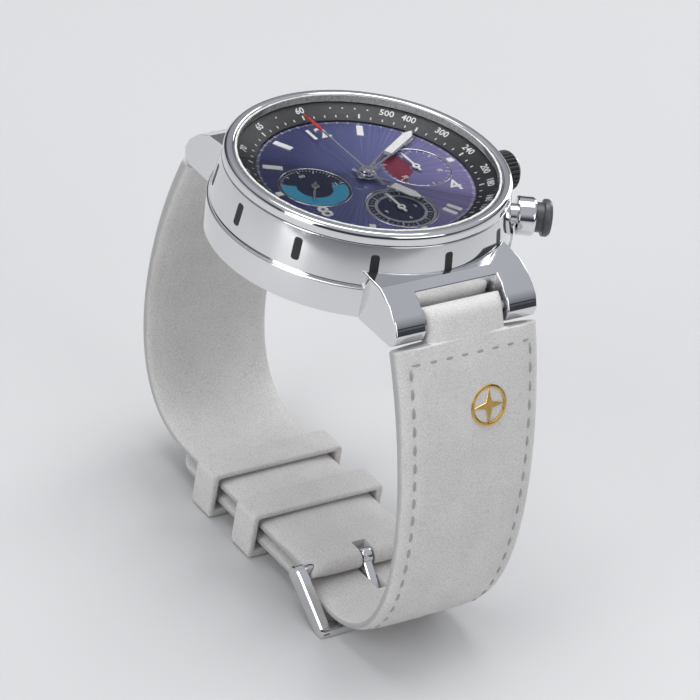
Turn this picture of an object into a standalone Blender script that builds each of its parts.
"""A chronograph wristwatch with its strap fastened in a loop, one object for each piece.

Sizes are in millimetres and become metres where a mesh is made. +X points at 3 o'clock and
the crown, +Y at 12 o'clock and +Z out of the dial. The origin is under the middle of the
dial, on the outer face of the fixed keeper, which the fastened strap stands on.
"""
import math

import bmesh
import bpy
from mathutils import Matrix, Vector

MM = 0.001

# Clearances
SEAT = 0.10            # between two pieces that touch
RUN = 0.08             # round a shaft that turns or slides
LEATHER = 0.30         # round leather

# Overall sizes
HEAD_Z = 50.4          # underside of the head above the standing face
DRUM_R = 21.8          # case at its base
DRUM_HEIGHT = 10.7
STRAP_HEAD_WIDTH = 24.4
STRAP_TAIL_WIDTH = 20.0

# Case, bezel, crystal and case back
FLARE = 1.3            # the case is this much wider at its base than the bezel
LEDGE_HEIGHT = 4.5     # from the base of the case up to the line round it
LEDGE_DEPTH = 0.4
BEZEL_BAND = 1.5
BEZEL_HEIGHT = 1.7
BACK_RIM = 1.0
BACK_DEPTH = 1.6
BACK_NOTCHES = 6
CRYSTAL_THICKNESS = 1.4
CRYSTAL_PROUD = 0.3
GASKET = 0.3
FLANGE_HEIGHT = 1.5
FLANGE_WIDTH = 3.3
DIAL_THICKNESS = 0.5

# Movement, from the dial down
MOVEMENT_R = 15.0
MOTION_HEIGHT = 0.7
PLATE_THICKNESS = 1.5
TRAIN_HEIGHT = 3.3
BRIDGE_THICKNESS = 0.8
BRIDGE_R = 14.2
ROTOR_R = 14.8
ARBOR_R = 0.22
CANNON_R = 0.50
HOUR_TUBE_R = 0.80
STEM_R = 0.45
STEM_DROP = 1.0        # stem axis below the main plate

# Sub-dials: the arbors of their hands stand at these places
SMALL_SECONDS_AT = (-8.6, 0.0)
CHRONO_MINUTES_AT = (8.6, 0.0)
CHRONO_HOURS_AT = (0.0, -8.9)
SUBDIAL_R = 5.2
SUBDIAL_DEPTH = 0.15

# Hands
HAND_THICKNESS = 0.2
HOUR_HAND_LENGTH = 9.4
MINUTE_HAND_LENGTH = 15.2
CHRONO_HAND_LENGTH = 16.4
SUB_HAND_LENGTH = 4.0
HOUR_ANGLE = 155.0
MINUTE_ANGLE = 59.5

# Crown and pushers
CROWN_R = 3.0
CROWN_LENGTH = 4.2
CROWN_TUBE_R = 1.35
PUSHER_SHAFT_R = 0.9
PUSHER_CAP_R = 2.7
PUSHER_TRAVEL = 1.0
COLLAR_LENGTH = 2.6
PUSHER_ANGLES = {"2": 30.0, "4": -30.0}

# Lugs and spring bars
LUG_WIDTH = 23.8
LUG_REACH = 5.5        # past the base of the case
LUG_SLOT_WIDTH = 13.8
LUG_BRIDGE = 1.4
BAR_REACH = 3.7
BAR_HEIGHT = 2.3       # spring bar above the base of the case
SPRING_BAR_R = 0.75
SPRING_BAR_LENGTH = 18.0

# Strap, keepers and buckle
STRAP_HEAD_THICKNESS = 4.0
STRAP_THICKNESS = 2.2
STRAP_DROP_ANGLE = 63.0
STRAP_FULLNESS = 22.0  # handle length of the curve at the lug
SHOULDER_AT = 3.1      # from the spring bar to the strap's shoulders
KEEPER_WALL = 1.4
KEEPER_LENGTH = 5.0
FREE_KEEPER_Y = 11.0
TAIL_TIP_Y = 24.0
BEND_12_Y = 18.0
BEND_6_Y = -20.0
BUCKLE_BAR_Y = -14.5
BUCKLE_BAR_R = 0.75
BUCKLE_END_R = 1.5
BUCKLE_OUTER_Y = -23.2
BUCKLE_RAIL = 2.0
BUCKLE_ARM = 1.7
TONGUE_WIDTH = 1.4
HOLE_PITCH = 6.5
HOLE_R = 0.9

# Levels and radii that follow from the sizes above
DRUM_BASE_Z = HEAD_Z + BACK_RIM + SEAT
DRUM_TOP_Z = DRUM_BASE_Z + DRUM_HEIGHT
BEZEL_Z = DRUM_TOP_Z + SEAT
BEZEL_TOP_Z = BEZEL_Z + BEZEL_HEIGHT
CRYSTAL_TOP_Z = BEZEL_TOP_Z + CRYSTAL_PROUD
CRYSTAL_Z = CRYSTAL_TOP_Z - CRYSTAL_THICKNESS
FLANGE_TOP_Z = CRYSTAL_Z - SEAT
FLANGE_Z = FLANGE_TOP_Z - FLANGE_HEIGHT
DIAL_TOP_Z = FLANGE_Z - SEAT
DIAL_Z = DIAL_TOP_Z - DIAL_THICKNESS
PLATE_TOP_Z = DIAL_Z - MOTION_HEIGHT
PLATE_Z = PLATE_TOP_Z - PLATE_THICKNESS
BRIDGE_TOP_Z = PLATE_Z - TRAIN_HEIGHT
BRIDGE_Z = BRIDGE_TOP_Z - BRIDGE_THICKNESS
STEM_Z = PLATE_Z - STEM_DROP
SUB_HAND_Z = DIAL_TOP_Z + SEAT
HOUR_HAND_Z = SUB_HAND_Z + HAND_THICKNESS + 0.15
MINUTE_HAND_Z = HOUR_HAND_Z + HAND_THICKNESS + 0.15
CHRONO_HAND_Z = MINUTE_HAND_Z + HAND_THICKNESS + 0.15

BEZEL_R = DRUM_R - FLARE
BEZEL_BORE_R = BEZEL_R - BEZEL_BAND
CASE_BORE_R = BEZEL_BORE_R + 0.3
FLANGE_R = BEZEL_BORE_R - SEAT
CRYSTAL_R = BEZEL_BORE_R - GASKET - 2 * SEAT
DIAL_R = FLANGE_R
CROWN_X = DRUM_R + 0.3
CROWN_END_X = CROWN_X + CROWN_LENGTH
BAR_Y = DRUM_R + BAR_REACH
BAR_Z = DRUM_BASE_Z + BAR_HEIGHT

TAIL_MID_Z = KEEPER_WALL + LEATHER + STRAP_THICKNESS / 2
INNER_MID_Z = TAIL_MID_Z + STRAP_THICKNESS + LEATHER
BUCKLE_BAR_Z = INNER_MID_Z - STRAP_THICKNESS / 2 + BUCKLE_END_R
KEEPER_BORE_WIDTH = STRAP_TAIL_WIDTH + 2 * LEATHER

# Colour, roughness and metallic value of each material
LOOKS = {
    "steel": ((0.78, 0.78, 0.80), 0.12, 1.0),
    "brushed": ((0.62, 0.63, 0.65), 0.32, 1.0),
    "black": ((0.02, 0.02, 0.022), 0.35, 0.0),
    "grey_cap": ((0.10, 0.10, 0.11), 0.40, 0.3),
    "dial_blue": ((0.05, 0.06, 0.20), 0.35, 0.2),
    "brass": ((0.72, 0.55, 0.27), 0.30, 1.0),
    "plate": ((0.70, 0.68, 0.62), 0.30, 1.0),
    "hand": ((0.85, 0.85, 0.87), 0.20, 0.9),
    "red": ((0.60, 0.04, 0.03), 0.35, 0.0),
    "rubber": ((0.03, 0.03, 0.03), 0.70, 0.0),
    "plastic": ((0.80, 0.80, 0.78), 0.50, 0.0),
    "leather": ((0.72, 0.72, 0.70), 0.60, 0.0),
    "glass": ((0.90, 0.93, 0.95), 0.03, 0.0),
}

UPRIGHT = Matrix.Identity(4)
ALONG_X = Matrix.Rotation(math.pi / 2, 4, "Y")
SIDE_VIEW = Matrix(((0, 0, 1, 0), (1, 0, 0, 0), (0, 1, 0, 0), (0, 0, 0, 1)))


def radial(degrees):
    """Turn local +Z to point outwards from the head's axis at this angle from +X."""
    return Matrix.Rotation(math.radians(degrees), 4, "Z") @ ALONG_X


def material(look):
    found = bpy.data.materials.get(look)
    if found:
        return found
    colour, roughness, metallic = LOOKS[look]
    made = bpy.data.materials.new(look)
    made.use_nodes = True
    shader = made.node_tree.nodes["Principled BSDF"]
    shader.inputs["Base Color"].default_value = (*colour, 1.0)
    shader.inputs["Roughness"].default_value = roughness
    shader.inputs["Metallic"].default_value = metallic
    return made


def finish(name, shape, look, at, turn):
    """Point the faces of a bmesh outwards and stand it in the scene as an object."""
    bmesh.ops.recalc_face_normals(shape, faces=shape.faces)
    bmesh.ops.scale(shape, vec=(MM, MM, MM), verts=shape.verts)
    mesh = bpy.data.meshes.new(name)
    shape.to_mesh(mesh)
    shape.free()
    mesh.materials.append(material(look))
    thing = bpy.data.objects.new(name, mesh)
    bpy.context.collection.objects.link(thing)
    thing.matrix_world = Matrix.Translation(Vector(at) * MM) @ turn
    bpy.context.view_layer.update()
    return thing


def turned(name, profile, look="steel", sides=48, at=(0, 0, 0), turn=UPRIGHT, teeth=None, arc=360):
    """Turn a profile of (radius, height) points about local Z.

    A point on the axis closes the shape with a flat face, and a profile without one is a ring.
    teeth maps a profile index to the depth that every other vertex of that ring is cut to.
    """
    shape = bmesh.new()
    whole = arc == 360
    count = sides if whole else sides + 1
    rings = []
    for index, (radius, height) in enumerate(profile):
        depth = (teeth or {}).get(index, 0)
        ring = []
        for step in range(count if radius else 0):
            angle = math.radians(arc) * step / sides
            reach = radius - depth * (step % 2)
            ring.append(shape.verts.new((reach * math.cos(angle), reach * math.sin(angle), height)))
        rings.append(ring)
    for ring, following in zip(rings, rings[1:] + rings[:1]):
        if not ring and not following:
            continue
        if not ring or not following:
            shape.faces.new(ring or following)
            continue
        for step in range(sides):
            after = (step + 1) % count
            shape.faces.new([ring[step], ring[after], following[after], following[step]])
    if not whole:
        shape.faces.new([ring[0] for ring in rings])
        shape.faces.new([ring[-1] for ring in rings])
    return finish(name, shape, look, at, turn)


def prism(name, outline, low, high, look="steel", at=(0, 0, 0), turn=UPRIGHT):
    """Extrude an outline in local X and Y from one local height to another."""
    shape = bmesh.new()
    base = shape.faces.new([shape.verts.new((x, y, low)) for x, y in outline])
    raised = bmesh.ops.extrude_face_region(shape, geom=[base])["geom"]
    top = [part for part in raised if isinstance(part, bmesh.types.BMVert)]
    bmesh.ops.translate(shape, vec=(0, 0, high - low), verts=top)
    return finish(name, shape, look, at, turn)


def box(name, low, high, look="steel"):
    corners = [(low[0], low[1]), (high[0], low[1]), (high[0], high[1]), (low[0], high[1])]
    return prism(name, corners, low[2], high[2], look)


def combine(thing, tool, operation):
    """Apply an exact Boolean with a tool, then take the tool away."""
    change = thing.modifiers.new(operation.lower(), "BOOLEAN")
    change.operation = operation
    change.object = tool
    view = bpy.context.evaluated_depsgraph_get()
    result = bpy.data.meshes.new_from_object(thing.evaluated_get(view))
    thing.modifiers.clear()
    thing.data = result
    bpy.data.objects.remove(tool)
    return thing


def cut(thing, tool):
    return combine(thing, tool, "DIFFERENCE")


def join(thing, tool):
    return combine(thing, tool, "UNION")


def rod(radius, low, high, at=(0, 0, 0), turn=UPRIGHT, sides=12):
    """A plain cylinder from one local height to another, used to drill or to join."""
    return turned("tool", [(0, low), (radius, low), (radius, high), (0, high)], "steel", sides, at, turn)


def ring_profile(inner, outer, low, high):
    return [(inner, low), (outer, low), (outer, high), (inner, high)]


# Case


def case_outline(gap):
    """Outer side of the case from its base up, moved out by a gap."""
    ledge = DRUM_BASE_Z + LEDGE_HEIGHT
    return [
        (DRUM_R + gap, DRUM_BASE_Z),
        (DRUM_R + gap, ledge),
        (DRUM_R - LEDGE_DEPTH + gap, ledge + LEDGE_DEPTH),
        (BEZEL_R + gap, DRUM_TOP_Z),
    ]


def make_case():
    step_r = CASE_BORE_R + 0.8
    profile = [(CASE_BORE_R, DRUM_BASE_Z + 0.5), (step_r, DRUM_BASE_Z + 0.5), (step_r, DRUM_BASE_Z)]
    profile += case_outline(0) + [(CASE_BORE_R, DRUM_TOP_Z)]
    case = turned("case_middle", profile)
    inner, outer = CASE_BORE_R - 2, DRUM_R + 2
    cut(case, rod(CROWN_TUBE_R + SEAT, inner, outer, (0, 0, STEM_Z), ALONG_X))
    for degrees in PUSHER_ANGLES.values():
        cut(case, rod(PUSHER_SHAFT_R + 0.7 + SEAT, inner, outer, (0, 0, STEM_Z), radial(degrees), 16))

    turned("bezel", [
        (BEZEL_BORE_R, BEZEL_Z), (BEZEL_R, BEZEL_Z), (BEZEL_R, BEZEL_TOP_Z - 0.7),
        (BEZEL_R - 0.15, BEZEL_TOP_Z - 0.25), (BEZEL_R - 0.5, BEZEL_TOP_Z), (BEZEL_BORE_R, BEZEL_TOP_Z),
    ])
    turned("crystal", [
        (0, CRYSTAL_Z), (CRYSTAL_R, CRYSTAL_Z), (CRYSTAL_R, CRYSTAL_TOP_Z - 0.3),
        (CRYSTAL_R - 0.4, CRYSTAL_TOP_Z), (0, CRYSTAL_TOP_Z),
    ], "glass")
    turned("crystal_gasket", ring_profile(
        CRYSTAL_R + SEAT, CRYSTAL_R + SEAT + GASKET, CRYSTAL_Z, BEZEL_TOP_Z - SEAT), "plastic")
    inner = FLANGE_R - FLANGE_WIDTH
    turned("flange_ring", [
        (inner, FLANGE_Z), (FLANGE_R, FLANGE_Z), (FLANGE_R, FLANGE_TOP_Z),
        (FLANGE_R - 0.5, FLANGE_TOP_Z), (inner, FLANGE_Z + 0.2),
    ], "black")

    rim_r = step_r + 0.5
    back = turned("case_back", [
        (0, HEAD_Z), (rim_r - 2.1, HEAD_Z), (rim_r, HEAD_Z + 0.6), (rim_r, HEAD_Z + BACK_RIM),
        (CASE_BORE_R - 0.4, HEAD_Z + BACK_RIM), (CASE_BORE_R - 0.4, HEAD_Z + BACK_DEPTH),
        (0, HEAD_Z + BACK_DEPTH),
    ], "brushed")
    for index in range(BACK_NOTCHES):
        turn = Matrix.Rotation(2 * math.pi * (index + 0.5) / BACK_NOTCHES, 4, "Z")
        notch = [(rim_r - 1.2, -1.2), (rim_r + 1, -1.2), (rim_r + 1, 1.2), (rim_r - 1.2, 1.2)]
        cut(back, prism("tool", notch, HEAD_Z - 1, HEAD_Z + 0.7, turn=turn))
    turned("case_back_gasket", ring_profile(
        CASE_BORE_R + 0.05, step_r - SEAT, DRUM_BASE_Z, DRUM_BASE_Z + 0.4), "rubber")


def make_dial():
    dial = turned("dial", [(0, DIAL_Z), (DIAL_R, DIAL_Z), (DIAL_R, DIAL_TOP_Z), (0, DIAL_TOP_Z)], "dial_blue")
    for place in (SMALL_SECONDS_AT, CHRONO_MINUTES_AT, CHRONO_HOURS_AT):
        floor = DIAL_TOP_Z - SUBDIAL_DEPTH
        cut(dial, rod(SUBDIAL_R, floor, DIAL_TOP_Z + 1, (*place, 0), sides=24))
        cut(dial, rod(ARBOR_R + 0.15, DIAL_Z - 1, DIAL_TOP_Z + 1, (*place, 0)))
    cut(dial, rod(HOUR_TUBE_R + 0.2, DIAL_Z - 1, DIAL_TOP_Z + 1))


# Movement: pitch radii and tooth counts, where a ratio follows from the counts

CENTRE_WHEEL_R = 4.2
THIRD_WHEEL_R = 3.6
FOURTH_WHEEL_R = 3.0
BARREL_R = 5.5
BARREL_ANGLE = 60.0
ESCAPE_WHEEL_R = 1.9
ESCAPE_TEETH = 15
ESCAPE_ANGLE = -109.0
PINION_LEAVES = 6
BARREL_TEETH = 48
CENTRE_TEETH = 48
THIRD_TEETH = 45
FOURTH_TEETH = 60
CANNON_PINION_R = 0.8
CANNON_LEAVES = 8
MINUTE_WHEEL_TEETH = 24
HOUR_WHEEL_TEETH = 32
CHRONO_WHEEL_R = 3.5
COUNTER_WHEEL_R = 4.6
CHRONO_TEETH = 40
COUNTER_TEETH = 30
BALANCE_R = 3.4
BALANCE_AT = (-5.6, -9.0)
PILLARS = ((12.2, 6.2), (-8.8, 9.2), (9.6, -8.8))


def polar(reach, degrees, about=(0.0, 0.0)):
    angle = math.radians(degrees)
    return (about[0] + reach * math.cos(angle), about[1] + reach * math.sin(angle))


def bearing(start, end):
    """The direction from one place to another, in degrees from +X."""
    return math.degrees(math.atan2(end[1] - start[1], end[0] - start[0]))


def meeting_point(first, reach, second, other_reach):
    """The lower of the two points at these distances from two centres on a line along X."""
    span = first[0] - second[0]
    along = (reach ** 2 - other_reach ** 2 + span ** 2) / (2 * span)
    return (first[0] - along, first[1] - math.sqrt(reach ** 2 - along ** 2))


CENTRE_PINION_R = BARREL_R * PINION_LEAVES / BARREL_TEETH
THIRD_PINION_R = CENTRE_WHEEL_R * PINION_LEAVES / CENTRE_TEETH
FOURTH_PINION_R = THIRD_WHEEL_R * PINION_LEAVES / THIRD_TEETH
ESCAPE_PINION_R = FOURTH_WHEEL_R * PINION_LEAVES / FOURTH_TEETH
MINUTE_WHEEL_R = CANNON_PINION_R * MINUTE_WHEEL_TEETH / CANNON_LEAVES
MOTION_REACH = CANNON_PINION_R + MINUTE_WHEEL_R
MINUTE_PINION_R = MOTION_REACH * CANNON_LEAVES / (CANNON_LEAVES + HOUR_WHEEL_TEETH)
HOUR_WHEEL_R = MOTION_REACH - MINUTE_PINION_R

BARREL_AT = polar(BARREL_R + CENTRE_PINION_R, BARREL_ANGLE)
THIRD_AT = meeting_point(
    (0, 0), CENTRE_WHEEL_R + THIRD_PINION_R, SMALL_SECONDS_AT, THIRD_WHEEL_R + FOURTH_PINION_R)
ESCAPE_AT = polar(FOURTH_WHEEL_R + ESCAPE_PINION_R, ESCAPE_ANGLE, SMALL_SECONDS_AT)
FORK_REACH = ESCAPE_WHEEL_R + 0.8
MINUTE_WHEEL_AT = (0, MOTION_REACH)


def gear_outline(radius, teeth, facing, tooth_there=True):
    """Straight-flanked teeth about a pitch circle, with a tooth or a gap facing a direction."""
    module = 2 * radius / teeth
    first = facing if tooth_there else facing + 180 / teeth
    points = []
    for step in range(2 * teeth):
        reach = radius + 0.5 * module if step % 2 == 0 else radius - 0.6 * module
        points.append(polar(reach, first + step * 180 / teeth))
    return points


def gear(name, place, base, outline, low, high, joined):
    """A toothed wheel with pinions (outlines) and arbors (radii) joined to it."""
    wheel = prism(name, outline, low, high, "brass", (*place, base))
    for part, start, end in joined:
        if isinstance(part, list):
            join(wheel, prism("tool", part, start, end, at=(*place, base)))
        else:
            join(wheel, rod(part, start, end, (*place, base)))
    return wheel


def make_movement():
    turned("movement_holder", ring_profile(
        MOVEMENT_R + 0.2, CASE_BORE_R - 0.2, BRIDGE_Z + 0.2, DIAL_Z - SEAT), "plastic")
    holder = bpy.data.objects["movement_holder"]
    cut(holder, rod(STEM_R + 0.3, MOVEMENT_R - 2, CASE_BORE_R + 2, (0, 0, STEM_Z), ALONG_X))
    for degrees in PUSHER_ANGLES.values():
        hole = rod(PUSHER_SHAFT_R + 0.2, MOVEMENT_R - 2, CASE_BORE_R + 2, (0, 0, STEM_Z), radial(degrees))
        cut(holder, hole)

    disc = [(0, PLATE_Z), (MOVEMENT_R, PLATE_Z), (MOVEMENT_R, PLATE_TOP_Z), (0, PLATE_TOP_Z)]
    plate = turned("main_plate", disc, "plate")
    cut(plate, rod(CANNON_R + 0.15, PLATE_Z - 1, PLATE_TOP_Z + 1))
    for place in (SMALL_SECONDS_AT, CHRONO_MINUTES_AT, CHRONO_HOURS_AT, MINUTE_WHEEL_AT):
        cut(plate, rod(ARBOR_R + 0.15, PLATE_Z - 1, PLATE_TOP_Z + 1, (*place, 0)))

    disc = [(0, BRIDGE_Z), (BRIDGE_R, BRIDGE_Z), (BRIDGE_R, BRIDGE_TOP_Z), (0, BRIDGE_TOP_Z)]
    bridge = turned("train_bridge", disc, "plate")
    cut(bridge, rod(BALANCE_R + 0.8, BRIDGE_Z - 1, BRIDGE_TOP_Z + 1, (*BALANCE_AT, 0), sides=24))
    for place in PILLARS:
        join(bridge, rod(0.9, BRIDGE_TOP_Z - 0.4, PLATE_Z - SEAT, (*place, 0)))

    make_train()
    make_escapement()
    make_rotor()


def make_train():
    base = BRIDGE_TOP_Z
    to_third = bearing((0, 0), THIRD_AT)
    to_fourth = bearing(THIRD_AT, SMALL_SECONDS_AT)
    rim = gear_outline(BARREL_R, BARREL_TEETH, BARREL_ANGLE + 180)
    drum_r = BARREL_R - 0.4
    gear("mainspring_barrel", BARREL_AT, base, rim, 1.9, 2.3, [(drum_r, 0.8, 2.2), (0.66, 0.3, 3.2)])

    # The centre wheel is hollow: the chronograph arbor runs through it
    minute_top = MINUTE_HAND_Z + HAND_THICKNESS / 2 - base
    plate_top = PLATE_TOP_Z - base
    teeth = gear_outline(CENTRE_WHEEL_R, CENTRE_TEETH, to_third)
    wheel = gear("centre_wheel", (0, 0), base, teeth, 2.6, 2.8, [
        (gear_outline(CENTRE_PINION_R, PINION_LEAVES, BARREL_ANGLE, False), 0.8, 2.7),
        (CANNON_R, 2.7, minute_top),
        (gear_outline(CANNON_PINION_R, CANNON_LEAVES, 90, False), plate_top + 0.05, plate_top + 0.25),
    ])
    cut(wheel, rod(ARBOR_R + RUN, 0, minute_top + 1, (0, 0, base)))

    gear("third_wheel", THIRD_AT, base, gear_outline(THIRD_WHEEL_R, THIRD_TEETH, to_fourth), 2.1, 2.3, [
        (gear_outline(THIRD_PINION_R, PINION_LEAVES, to_third + 180, False), 2.2, 3.1), (ARBOR_R, 0.9, 2.2)])
    sub_top = SUB_HAND_Z + HAND_THICKNESS * 0.75 - base
    teeth = gear_outline(FOURTH_WHEEL_R, FOURTH_TEETH, ESCAPE_ANGLE)
    gear("fourth_wheel", SMALL_SECONDS_AT, base, teeth, 1.6, 1.8, [
        (gear_outline(FOURTH_PINION_R, PINION_LEAVES, to_fourth + 180, False), 1.7, 2.4),
        (ARBOR_R, 0.2, sub_top)])

    chrono_top = CHRONO_HAND_Z + HAND_THICKNESS * 0.75 - base
    gear("chronograph_wheel", (0, 0), base, gear_outline(CHRONO_WHEEL_R, CHRONO_TEETH, 0), 0.25, 0.45, [
        (ARBOR_R, 0.1, chrono_top)])
    for name, place in (("minutes_counter_wheel", CHRONO_MINUTES_AT), ("hours_counter_wheel", CHRONO_HOURS_AT)):
        gear(name, place, base, gear_outline(COUNTER_WHEEL_R, COUNTER_TEETH, 0), 0.25, 0.45, [
            (ARBOR_R, 0.1, sub_top)])

    hour_top = HOUR_HAND_Z + HAND_THICKNESS / 2 - PLATE_TOP_Z
    teeth = gear_outline(HOUR_WHEEL_R, HOUR_WHEEL_TEETH, 90)
    wheel = gear("hour_wheel", (0, 0), PLATE_TOP_Z, teeth, 0.35, 0.55, [
        (HOUR_TUBE_R, 0.45, hour_top)])
    cut(wheel, rod(CANNON_R + RUN, 0, hour_top + 1, (0, 0, PLATE_TOP_Z)))
    teeth = gear_outline(MINUTE_WHEEL_R, MINUTE_WHEEL_TEETH, 270)
    gear("minute_wheel", MINUTE_WHEEL_AT, PLATE_TOP_Z, teeth, 0.05, 0.25, [
        (gear_outline(MINUTE_PINION_R, CANNON_LEAVES, 270, False), 0.15, 0.6), (ARBOR_R, -1.2, 0.15)])


def make_escapement():
    base = BRIDGE_TOP_Z
    pitch = 360 / ESCAPE_TEETH
    club = []
    for step in range(ESCAPE_TEETH):
        club += [polar(ESCAPE_WHEEL_R, step * pitch), polar(ESCAPE_WHEEL_R - 0.45, (step + 0.3) * pitch)]
    gear("escape_wheel", ESCAPE_AT, base, club, 1.0, 1.2, [
        (gear_outline(ESCAPE_PINION_R, PINION_LEAVES, ESCAPE_ANGLE + 180, False), 1.1, 1.9), (ARBOR_R, 0.2, 3.1)])

    # The fork lies on the line from the escape wheel to the balance
    to_balance = math.dist(ESCAPE_AT, BALANCE_AT)
    heading = math.atan2(BALANCE_AT[1] - ESCAPE_AT[1], BALANCE_AT[0] - ESCAPE_AT[0])
    fork_at = (
        ESCAPE_AT[0] + FORK_REACH * math.cos(heading),
        ESCAPE_AT[1] + FORK_REACH * math.sin(heading),
        base,
    )
    tip = to_balance - FORK_REACH - 0.9
    half = [(tip, 0.25), (0.3, 0.25), (0.1, 1.5), (-1.0, 1.8), (-1.0, 1.5), (-0.3, 1.2), (-0.3, 0.25)]
    outline = half + [(x, -y) for x, y in reversed(half)]
    fork = prism("pallet_fork", outline, 1.0, 1.2, "steel", fork_at, Matrix.Rotation(heading, 4, "Z"))
    join(fork, rod(ARBOR_R, 0.2, 3.1, fork_at))

    balance_at = (*BALANCE_AT, base)
    rim = ring_profile(BALANCE_R - 0.6, BALANCE_R, 1.7, 2.2)
    balance = turned("balance_wheel", rim, "brass", 36, balance_at)
    spoke = BALANCE_R - 0.3
    outline = [(-spoke, -0.3), (spoke, -0.3), (spoke, 0.3), (-spoke, 0.3)]
    join(balance, prism("tool", outline, 1.8, 2.1, at=balance_at))
    join(balance, turned("tool", [
        (0, 0.2), (0.25, 0.2), (0.25, 0.95), (0.6, 0.95), (0.6, 1.25), (0.25, 1.25), (0.25, 3.1), (0, 3.1),
    ], "steel", 12, balance_at))

    turns, steps, wire = 2.5, 14, 0.15
    coil = []
    for step in range(int(turns * steps) + 1):
        angle = 2 * math.pi * step / steps
        coil.append((0.5 + 0.6 * step / steps, angle))
    outer = [((r + wire) * math.cos(a), (r + wire) * math.sin(a)) for r, a in coil]
    inner = [(r * math.cos(a), r * math.sin(a)) for r, a in coil]
    prism("hairspring", outer + inner[::-1], 2.5, 2.75, "steel", balance_at)

    # The cock reaches in from the rim of the movement over the balance
    heading = math.atan2(BALANCE_AT[1], BALANCE_AT[0])
    reach = math.hypot(*BALANCE_AT)
    rim, foot = MOVEMENT_R, reach + BALANCE_R + 0.15
    low, high = BRIDGE_Z + 0.1, PLATE_Z - SEAT
    outline = [(reach - 1.3, low), (rim, low), (rim, high), (foot, high), (foot, base), (reach - 1.3, base)]
    prism("balance_cock", outline, -1.3, 1.3, "plate", turn=Matrix.Rotation(heading + math.pi / 2, 4, "Z")
          @ SIDE_VIEW @ Matrix.Scale(-1, 4, (1, 0, 0)))


def make_rotor():
    hub, base = 0.7 + SEAT, BRIDGE_Z
    rotor = turned("rotor", ring_profile(hub, 2.2, -1.85, -0.8), "steel", 24, (0, 0, base))
    inner = ROTOR_R - 2.3
    join(rotor, turned("tool", [
        (1.5, -1.8), (ROTOR_R, -1.8), (ROTOR_R, -0.4), (inner, -0.4), (inner, -1.4), (1.5, -1.4),
    ], "steel", 24, (0, 0, base), arc=180))
    turned("rotor_bearing", [
        (0, -2.15), (1.3, -2.15), (1.3, -1.95), (0.7, -1.95), (0.7, -0.65), (2.0, -0.65), (2.0, -0.1), (0, -0.1),
    ], "steel", 12, (0, 0, base))


# Hands


def make_hand(name, length, tail, width, hub_r, hole_r, level, angle, at=(0.0, 0.0), look="hand"):
    """A pointed blade with a round hub, turned clockwise from 12 o'clock by an angle."""
    turn = Matrix.Rotation(-math.radians(angle), 4, "Z")
    half = width / 2
    blade = [
        (-half, -tail), (half, -tail), (half, length - 2 * half), (half * 0.3, length), (-half * 0.3, length),
        (-half, length - 2 * half),
    ]
    place = (*at, level)
    hand = prism(name, blade, 0, HAND_THICKNESS, look, place, turn)
    join(hand, rod(hub_r, 0, HAND_THICKNESS, place, turn, 24))
    return cut(hand, rod(hole_r, -1, 1, place, turn))


def make_hands():
    grip = 0.05
    make_hand("hour_hand", HOUR_HAND_LENGTH, 2.2, 1.5, 1.5, HOUR_TUBE_R + grip, HOUR_HAND_Z, HOUR_ANGLE)
    make_hand("minute_hand", MINUTE_HAND_LENGTH, 2.2, 1.3, 1.2, CANNON_R + grip, MINUTE_HAND_Z, MINUTE_ANGLE)
    bore = ARBOR_R + grip
    make_hand("chrono_seconds_hand", CHRONO_HAND_LENGTH, 4.5, 0.4, 0.9, bore, CHRONO_HAND_Z, 0, look="red")
    subs = {
        "small_seconds_hand": (SMALL_SECONDS_AT, 216.0),
        "chrono_minutes_hand": (CHRONO_MINUTES_AT, 0.0),
        "chrono_hours_hand": (CHRONO_HOURS_AT, 0.0),
    }
    for name, (place, angle) in subs.items():
        make_hand(name, SUB_HAND_LENGTH, 1.2, 0.45, 0.6, ARBOR_R + grip, SUB_HAND_Z, angle, place)


# Crown and pushers


def make_crown():
    place = (0, 0, STEM_Z)
    tube_end = CROWN_X + 1.7
    cavity = CROWN_TUBE_R + 0.4
    turned("crown_tube", ring_profile(STEM_R + 0.15, CROWN_TUBE_R, CASE_BORE_R + 0.1, tube_end), "steel", 12,
           place, ALONG_X)
    turned("crown_gasket", ring_profile(CROWN_TUBE_R + 0.07, cavity - 0.07, CROWN_X + 0.5, CROWN_X + 1.1),
           "rubber", 12, place, ALONG_X)
    socket, floor = STEM_R + 0.1, tube_end + 0.4
    turned("crown", [
        (cavity, CROWN_X), (CROWN_R - 0.3, CROWN_X), (CROWN_R, CROWN_X + 0.4), (CROWN_R, CROWN_END_X - 0.5),
        (CROWN_R - 0.4, CROWN_END_X), (0, CROWN_END_X), (0, CROWN_END_X - 1.0), (socket, CROWN_END_X - 1.0),
        (socket, floor), (cavity, floor),
    ], "black", 24, place, ALONG_X, teeth={2: 0.2, 3: 0.2})
    stem_end = CROWN_END_X - 1.1
    turned("winding_stem", [
        (0, 10.2), (STEM_R, 10.2), (STEM_R, 11.5), (0.9, 11.5), (0.9, 13.0), (STEM_R, 13.0),
        (STEM_R, stem_end),
        (0, stem_end),
    ], "steel", 12, place, ALONG_X)


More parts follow.
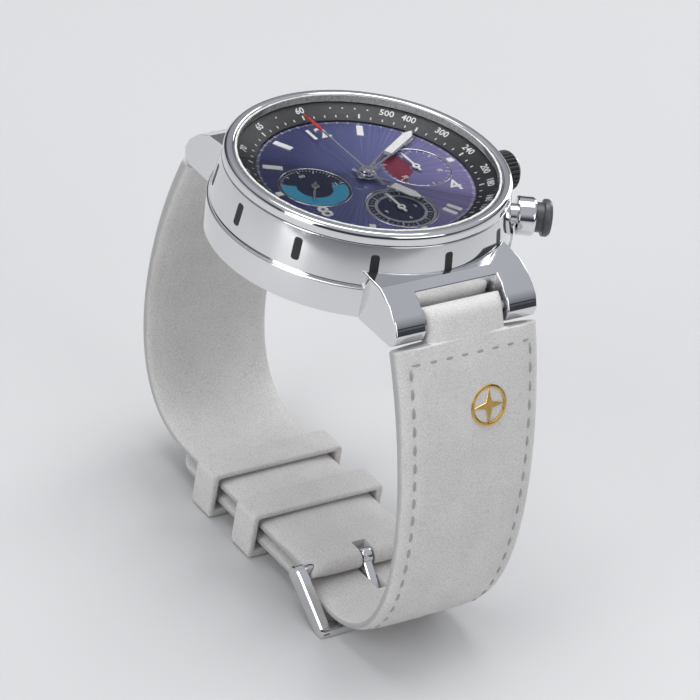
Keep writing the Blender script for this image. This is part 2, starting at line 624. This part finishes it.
def make_pusher(hour, degrees):
    place, turn = (0, 0, STEM_Z), radial(degrees)
    bore, neck = PUSHER_SHAFT_R + RUN, PUSHER_SHAFT_R + 0.7
    well = PUSHER_CAP_R - 0.4
    start = DRUM_R + 0.2
    collar_end = start + COLLAR_LENGTH
    turned("pusher_collar_" + hour, [
        (bore, CASE_BORE_R + 0.1), (neck, CASE_BORE_R + 0.1), (neck, start), (well + 0.5, start),
        (well + 0.5, collar_end), (well, collar_end), (well, start + 0.6), (bore, start + 0.6),
    ], "steel", 16, place, turn)
    skirt = start + 0.6 + PUSHER_TRAVEL + 0.3
    cap = collar_end + PUSHER_TRAVEL + 0.15
    turned("pusher_" + hour, [
        (0, CASE_BORE_R - 0.7), (PUSHER_SHAFT_R, CASE_BORE_R - 0.7), (PUSHER_SHAFT_R, skirt),
        (well - 0.15, skirt), (well - 0.15, cap), (PUSHER_CAP_R, cap), (PUSHER_CAP_R, cap + 0.85),
        (PUSHER_CAP_R - 0.3, cap + 1.15), (0, cap + 1.15),
    ], "grey_cap", 16, place, turn)


# Lugs and strap


def make_lugs(name, side):
    """The pair of horns on one side, joined by a bridge along the case; side is +1 at 12."""
    base, out = DRUM_BASE_Z - 0.2, DRUM_R + LUG_REACH
    profile = [
        (DRUM_R - 4.5, base), (out - 1.4, base), (out - 0.3, base + 0.7), (out, base + 2.1),
        (out - 0.7, base + 3.7), (out - 2.7, base + 5.6), (DRUM_R, base + 6.9), (DRUM_R - 4.5, base + 7.3),
    ]
    outline = [(side * y, z) for y, z in profile]
    lugs = prism(name, outline, -LUG_WIDTH / 2, LUG_WIDTH / 2, "steel", turn=SIDE_VIEW)
    hollow = [(0, base - 1)] + [(r, z) for r, z in case_outline(SEAT)]
    hollow[1] = (hollow[1][0], base - 1)
    hollow.append((0, DRUM_TOP_Z))
    cut(lugs, turned("tool", hollow))
    half = LUG_SLOT_WIDTH / 2
    inner = DRUM_R + SEAT + LUG_BRIDGE
    near, far = sorted((side * inner, side * (out + 1)))
    cut(lugs, box("tool", (-half, near, base - 1), (half, far, base + 9)))
    reach = SPRING_BAR_LENGTH / 2 + 0.2
    cut(lugs, rod(SPRING_BAR_R + SEAT, -reach, reach, (0, side * BAR_Y, BAR_Z), ALONG_X))
    bar = rod(SPRING_BAR_R, -SPRING_BAR_LENGTH / 2, SPRING_BAR_LENGTH / 2, (0, side * BAR_Y, BAR_Z), ALONG_X)
    bar.name = name.replace("lugs", "spring_bar")


def strap_path(side, bend_y, floor_z, end_y, steps=18):
    """Points (y, z, tangent, length) from the spring bar, down a curve and along the floor."""
    slope = math.radians(STRAP_DROP_ANGLE)
    heading = Vector((side * math.cos(slope), -math.sin(slope)))
    start = Vector((side * BAR_Y, BAR_Z))
    last = Vector((bend_y, floor_z))
    first_handle = start + heading * STRAP_FULLNESS
    last_handle = last + Vector((side * STRAP_FULLNESS * 0.9, 0))
    points = []
    for step in range(steps + 1):
        t = step / steps
        u = 1 - t
        point = start * u ** 3 + first_handle * 3 * u * u * t + last_handle * 3 * u * t * t + last * t ** 3
        way = (first_handle - start) * u * u + (last_handle - first_handle) * 2 * u * t
        way = way + (last - last_handle) * t * t
        points.append((point, way.normalized()))
    points.append((Vector((end_y, floor_z)), Vector((-side, 0))))
    path, length = [], 0.0
    for index, (point, way) in enumerate(points):
        if index:
            length += (point - points[index - 1][0]).length
        path.append((point, way, length))
    return path


def path_at(path, length):
    """The point and the direction at a length along a path, straight on past its ends."""
    if length <= 0:
        return path[0][0] + path[0][1] * length, path[0][1]
    for before, after in zip(path, path[1:]):
        if length <= after[2]:
            share = (length - before[2]) / (after[2] - before[2])
            return before[0].lerp(after[0], share), before[1].lerp(after[1], share).normalized()
    return path[-1][0] + path[-1][1] * (length - path[-1][2]), path[-1][1]


def swept(name, path, side, stations):
    """Sweep a rectangle along a path; a station is (length, half width, outward, inward)."""
    shape = bmesh.new()
    rings = []
    for length, half, outward, inward in stations:
        point, way = path_at(path, length)
        normal = Vector((-way.y, way.x)) * side
        over, under = point + normal * outward, point - normal * inward
        corners = [(-half, over), (half, over), (half, under), (-half, under)]
        rings.append([shape.verts.new((x, yz.x, yz.y)) for x, yz in corners])
    for ring, following in zip(rings, rings[1:]):
        for corner in range(4):
            after = (corner + 1) % 4
            shape.faces.new([ring[corner], ring[after], following[after], following[corner]])
    shape.faces.new(rings[0])
    shape.faces.new(rings[-1])
    return finish(name, shape, "leather", (0, 0, 0), UPRIGHT)


def strap_stations(path, bend_length):
    """Stations from the round nose at the spring bar to the end of the strap's curve."""
    nose = STRAP_HEAD_THICKNESS / 2
    tongue = LUG_SLOT_WIDTH / 2 - LEATHER
    head, tail = STRAP_HEAD_WIDTH / 2, STRAP_TAIL_WIDTH / 2
    stations = []
    for degrees in (75, 50, 25):
        reach, half = nose * math.sin(math.radians(degrees)), nose * math.cos(math.radians(degrees))
        stations.append((-reach, tongue, half, half))
    stations += [(0, tongue, nose, nose), (SHOULDER_AT - 0.1, tongue, nose, nose)]
    for _, _, length in path:
        if length > bend_length + 0.01 or (0 < length < SHOULDER_AT + 1):
            continue
        at = max(length, SHOULDER_AT)
        share = (at - SHOULDER_AT) / (bend_length - SHOULDER_AT)
        half = nose + (STRAP_THICKNESS / 2 - nose) * min(share * 1.6, 1)
        stations.append((at, head + (tail - head) * share, half, half))
    return stations


def make_strap_12():
    path = strap_path(1, BEND_12_Y, INNER_MID_Z, BUCKLE_BAR_Y)
    bend_length, end = path[-2][2], path[-1][2]
    stations = strap_stations(path, bend_length)
    half, tail = STRAP_THICKNESS / 2, STRAP_TAIL_WIDTH / 2
    extra = 2 * (BUCKLE_END_R - half)
    stations += [(end - 8, tail, half, half), (end - 3, tail, half, half + extra), (end, tail, half, half + extra)]
    for degrees in (25, 50, 75):
        reach = BUCKLE_END_R * math.sin(math.radians(degrees))
        level = BUCKLE_END_R * math.cos(math.radians(degrees))
        stations.append((end + reach, tail, level - extra / 2, level + extra / 2))
    strap = swept("strap_12", path, 1, stations)
    cut(strap, rod(SPRING_BAR_R + SEAT, -12, 12, (0, BAR_Y, BAR_Z), ALONG_X))
    cut(strap, rod(BUCKLE_BAR_R + SEAT, -16, 16, (0, BUCKLE_BAR_Y, BUCKLE_BAR_Z), ALONG_X))
    slot = TONGUE_WIDTH / 2 + 0.5
    low = (-slot, BUCKLE_BAR_Y - 3, BUCKLE_BAR_Z - 4)
    cut(strap, box("tool", low, (slot, BUCKLE_BAR_Y + 1.9, BUCKLE_BAR_Z + 4)))


def make_strap_6():
    path = strap_path(-1, BEND_6_Y, TAIL_MID_Z, TAIL_TIP_Y)
    bend_length, end = path[-2][2], path[-1][2]
    stations = strap_stations(path, bend_length)
    half, tail, point = STRAP_THICKNESS / 2, STRAP_TAIL_WIDTH / 2, 8.0
    for share in (0, 0.3, 0.55, 0.75, 0.9, 0.98):
        width = tail * math.sqrt(1 - share * share)
        stations.append((end - point + point * share, width, half, half))
    strap = swept("strap_6", path, -1, stations)
    cut(strap, rod(SPRING_BAR_R + SEAT, -12, 12, (0, -BAR_Y, BAR_Z), ALONG_X))
    slot_from, slot_to = BUCKLE_BAR_Y - 5.6, BUCKLE_BAR_Y - 0.3
    half_slot = TONGUE_WIDTH / 2 + 0.2
    low = (-half_slot, slot_from, TAIL_MID_Z - 3)
    cut(strap, box("tool", low, (half_slot, slot_to, TAIL_MID_Z + 3)))
    middle = bend_length + (slot_from + slot_to) / 2 - BEND_6_Y
    for index in (-2, -1, 1, 2, 3, 4, 5):
        point, way = path_at(path, middle + index * HOLE_PITCH)
        turn = Matrix.Rotation(math.atan2(way.y, way.x), 4, "X")
        cut(strap, rod(HOLE_R, -4, 4, (0, point.x, point.y), turn))


def make_buckle():
    base_y, bar = BUCKLE_OUTER_Y, (BUCKLE_BAR_Y, BUCKLE_BAR_Z)
    inner = STRAP_TAIL_WIDTH / 2 + LEATHER + 0.2
    outer = inner + BUCKLE_ARM
    profile = [
        (base_y, 0), (base_y + BUCKLE_RAIL, 0), (bar[0] + 1.3, bar[1] - 0.9), (bar[0] + 1.3, bar[1] + 0.6),
        (bar[0], bar[1] + 1.3), (bar[0] - 1.3, bar[1] + 0.7), (base_y, KEEPER_WALL),
    ]
    frame = prism("buckle_frame", profile, -outer, outer, "steel", turn=SIDE_VIEW)
    cut(frame, box("tool", (-inner, base_y + BUCKLE_RAIL, -1), (inner, bar[0] + 5, bar[1] + 5)))
    cut(frame, box("tool", (-inner, base_y - 1, KEEPER_WALL), (inner, bar[0] + 5, bar[1] + 5)))
    notch = TONGUE_WIDTH / 2 + 0.2
    cut(frame, box("tool", (-notch, base_y - 1, -1), (notch, base_y + BUCKLE_RAIL + 1, 0.9)))
    reach = inner + BUCKLE_ARM - 0.5
    place = (0, *bar)
    cut(frame, rod(BUCKLE_BAR_R + SEAT, -reach, reach, place, ALONG_X))
    pin = rod(BUCKLE_BAR_R, -reach + SEAT, reach - SEAT, place, ALONG_X)
    pin.name = "buckle_bar"

    # The tongue: an eye round the bar and an arm down through the slot to the notch
    half = TONGUE_WIDTH / 2
    drop = -bar[1]
    arm = [
        (0.4, -0.7), (-5.4, drop + 0.15), (-8.6, drop + 0.15), (-8.6, drop + 0.6), (-6.2, drop + 0.75),
        (-0.6, 0.5),
    ]
    tongue = prism("buckle_tongue", arm, -half, half, "steel", place, SIDE_VIEW)
    join(tongue, rod(BUCKLE_BAR_R + 0.55, -half - 0.1, half + 0.1, place, ALONG_X))
    cut(tongue, rod(BUCKLE_BAR_R + SEAT, -3, 3, place, ALONG_X))


def make_keeper(name, middle_y):
    bore, wall = KEEPER_BORE_WIDTH / 2 + 0.1, 1.2
    top = INNER_MID_Z + STRAP_THICKNESS / 2 + LEATHER
    half = KEEPER_LENGTH / 2
    outline = [(-bore - wall, 0), (bore + wall, 0), (bore + wall, top + 1.0), (-bore - wall, top + 1.0)]
    turn = Matrix.Rotation(math.pi / 2, 4, "X")
    keeper = prism(name, outline, -half, half, "leather", (0, middle_y, 0), turn)
    hollow = [(-bore, KEEPER_WALL), (bore, KEEPER_WALL), (bore, top), (-bore, top)]
    return cut(keeper, prism("tool", hollow, -half - 1, half + 1, at=(0, middle_y, 0), turn=turn))


def main():
    for old in list(bpy.data.objects):
        bpy.data.objects.remove(old)
    make_case()
    make_dial()
    make_movement()
    make_hands()
    make_crown()
    for hour, degrees in PUSHER_ANGLES.items():
        make_pusher(hour, degrees)
    make_lugs("lugs_12", 1)
    make_lugs("lugs_6", -1)
    make_strap_12()
    make_strap_6()
    make_buckle()
    make_keeper("fixed_keeper", 0)
    make_keeper("free_keeper", FREE_KEEPER_Y)


main()
